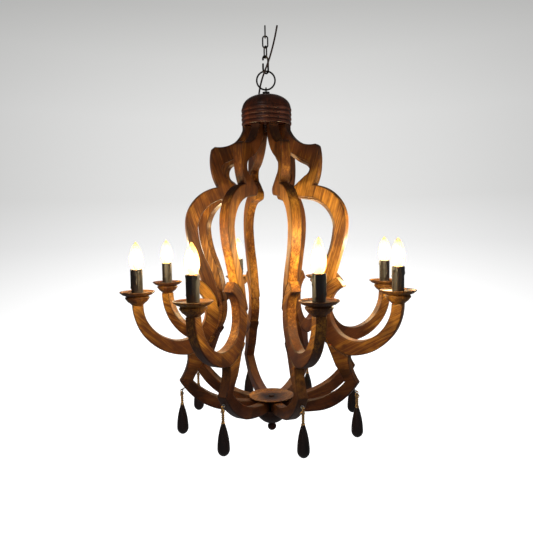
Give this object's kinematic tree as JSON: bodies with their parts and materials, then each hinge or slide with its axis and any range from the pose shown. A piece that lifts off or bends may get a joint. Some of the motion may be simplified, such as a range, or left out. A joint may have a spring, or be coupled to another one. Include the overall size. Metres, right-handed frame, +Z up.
{
  "type": "chandelier",
  "caption": "Carved wooden candle chandelier: curved ribs form an open cage under a turned cap, with C-shaped arms, candle lights, hanging wooden drops, a ring and a short chain.",
  "frame": {"origin": "inside top of the top chain link, where a ceiling hook carries it", "axes": "+Z up, -Y towards light 1"},
  "size_m": [0.787, 0.787, 1.0897],
  "materials": {
    "stained_wood": "waxed, orange-brown stain with dark edges",
    "dark_wood": "waxed, dark red-brown stain",
    "drop_wood": "glossy ebony-dark varnish, on jute twine",
    "candle_resin": "dark brown resin with wax drips",
    "black_plastic": "moulded",
    "white_plastic": "moulded",
    "bulb_glass": "clear glass, lit warm white",
    "dark_bronze": "dark bronze, satin",
    "nickel": "nickel plated",
    "steel": "zinc plated",
    "cord_cover": "dark brown cord cover",
    "twine": "twisted jute"
  },
  "bodies": {
    "top_link": {"top_link": "dark_bronze"},
    "upper_link": {"chain_link_1": "dark_bronze"},
    "lower_link": {"chain_link_2": "dark_bronze"},
    "open_link": {"open_link": "dark_bronze"},
    "ring": {"hanging_ring": "dark_bronze"},
    "chandelier": {"upper_rib_1": "stained_wood", "upper_rib_2": "stained_wood", "upper_rib_3": "stained_wood", "upper_rib_4": "stained_wood", "upper_rib_5": "stained_wood", "upper_rib_6": "stained_wood", "upper_rib_7": "stained_wood", "upper_rib_8": "stained_wood", "arm_1": "stained_wood", "arm_2": "stained_wood", "arm_3": "stained_wood", "arm_4": "stained_wood", "arm_5": "stained_wood", "arm_6": "stained_wood", "arm_7": "stained_wood", "arm_8": "stained_wood", "foot_1": "stained_wood", "foot_2": "stained_wood", "foot_3": "stained_wood", "foot_4": "stained_wood", "foot_5": "stained_wood", "foot_6": "stained_wood", "foot_7": "stained_wood", "foot_8": "stained_wood", "joint_dowels": "stained_wood", "candle_cups": "stained_wood", "candle_sleeves": "candle_resin", "lampholders": "black_plastic", "screw_eyes": "nickel", "cap_fixings": "steel", "top_cap": "dark_wood", "top_plate": "dark_wood", "cap_eye": "dark_bronze", "terminal_block": "white_plastic", "bottom_dish": "dark_wood", "bottom_boss": "dark_wood", "finial": "dark_wood", "tie_bolt": "steel", "supply_cord": "cord_cover"},
    "bulb_1": {"bulb_1": "bulb_glass"},
    "bulb_2": {"bulb_2": "bulb_glass"},
    "bulb_3": {"bulb_3": "bulb_glass"},
    "bulb_4": {"bulb_4": "bulb_glass"},
    "bulb_5": {"bulb_5": "bulb_glass"},
    "bulb_6": {"bulb_6": "bulb_glass"},
    "bulb_7": {"bulb_7": "bulb_glass"},
    "bulb_8": {"bulb_8": "bulb_glass"},
    "drop_1": {"drop_1": "drop_wood"},
    "drop_2": {"drop_2": "drop_wood"},
    "drop_3": {"drop_3": "drop_wood"},
    "drop_4": {"drop_4": "drop_wood"},
    "drop_5": {"drop_5": "drop_wood"},
    "drop_6": {"drop_6": "drop_wood"},
    "drop_7": {"drop_7": "drop_wood"},
    "drop_8": {"drop_8": "drop_wood"}
  },
  "joints": [
    {"name": "upper_link_swing", "type": "hinge", "parent": "top_link", "child": "upper_link", "pos_m": [0, 0, -0.02838], "axis": [0.2924, 0.9563, 0], "range_deg": [-30, 30]},
    {"name": "lower_link_swing", "type": "hinge", "parent": "upper_link", "child": "lower_link", "pos_m": [0, 0, -0.05448], "axis": [0.9563, -0.2924, 0], "range_deg": [-30, 30]},
    {"name": "open_link_swing", "type": "hinge", "parent": "lower_link", "child": "open_link", "pos_m": [0, 0, -0.08057], "axis": [0.1908, -0.9816, 0], "range_deg": [-30, 30]},
    {"name": "ring_swing", "type": "hinge", "parent": "open_link", "child": "ring", "pos_m": [0, 0, -0.1203], "axis": [0.8387, 0.5446, 0], "range_deg": [-30, 30]},
    {"name": "chandelier_swing", "type": "hinge", "parent": "ring", "child": "chandelier", "pos_m": [0, 0, -0.16325], "axis": [0.9563, -0.2924, 0], "range_deg": [-45, 45], "deforming": ["supply_cord"]},
    {"name": "bulb_1_lift", "type": "slide", "parent": "chandelier", "child": "bulb_1", "axis": [0, 0, 1], "range_m": [0, 0.03]},
    {"name": "bulb_2_lift", "type": "slide", "parent": "chandelier", "child": "bulb_2", "axis": [0, 0, 1], "range_m": [0, 0.03]},
    {"name": "bulb_3_lift", "type": "slide", "parent": "chandelier", "child": "bulb_3", "axis": [0, 0, 1], "range_m": [0, 0.03]},
    {"name": "bulb_4_lift", "type": "slide", "parent": "chandelier", "child": "bulb_4", "axis": [0, 0, 1], "range_m": [0, 0.03]},
    {"name": "bulb_5_lift", "type": "slide", "parent": "chandelier", "child": "bulb_5", "axis": [0, 0, 1], "range_m": [0, 0.03]},
    {"name": "bulb_6_lift", "type": "slide", "parent": "chandelier", "child": "bulb_6", "axis": [0, 0, 1], "range_m": [0, 0.03]},
    {"name": "bulb_7_lift", "type": "slide", "parent": "chandelier", "child": "bulb_7", "axis": [0, 0, 1], "range_m": [0, 0.03]},
    {"name": "bulb_8_lift", "type": "slide", "parent": "chandelier", "child": "bulb_8", "axis": [0, 0, 1], "range_m": [0, 0.03]},
    {"name": "drop_1_swing", "type": "hinge", "parent": "chandelier", "child": "drop_1", "pos_m": [0, -0.245, -0.9481], "axis": [1, 0, 0], "range_deg": [-30, 30]},
    {"name": "drop_2_swing", "type": "hinge", "parent": "chandelier", "child": "drop_2", "pos_m": [0.17324, -0.17324, -0.9481], "axis": [0.7071, 0.7071, 0], "range_deg": [-30, 30]},
    {"name": "drop_3_swing", "type": "hinge", "parent": "chandelier", "child": "drop_3", "pos_m": [0.245, 0, -0.9481], "axis": [0, 1, 0], "range_deg": [-30, 30]},
    {"name": "drop_4_swing", "type": "hinge", "parent": "chandelier", "child": "drop_4", "pos_m": [0.17324, 0.17324, -0.9481], "axis": [-0.7071, 0.7071, 0], "range_deg": [-30, 30]},
    {"name": "drop_5_swing", "type": "hinge", "parent": "chandelier", "child": "drop_5", "pos_m": [0, 0.245, -0.9481], "axis": [-1, 0, 0], "range_deg": [-30, 30]},
    {"name": "drop_6_swing", "type": "hinge", "parent": "chandelier", "child": "drop_6", "pos_m": [-0.17324, 0.17324, -0.9481], "axis": [-0.7071, -0.7071, 0], "range_deg": [-30, 30]},
    {"name": "drop_7_swing", "type": "hinge", "parent": "chandelier", "child": "drop_7", "pos_m": [-0.245, 0, -0.9481], "axis": [0, -1, 0], "range_deg": [-30, 30]},
    {"name": "drop_8_swing", "type": "hinge", "parent": "chandelier", "child": "drop_8", "pos_m": [-0.17324, -0.17324, -0.9481], "axis": [0.7071, -0.7071, 0], "range_deg": [-30, 30]}
  ]
}
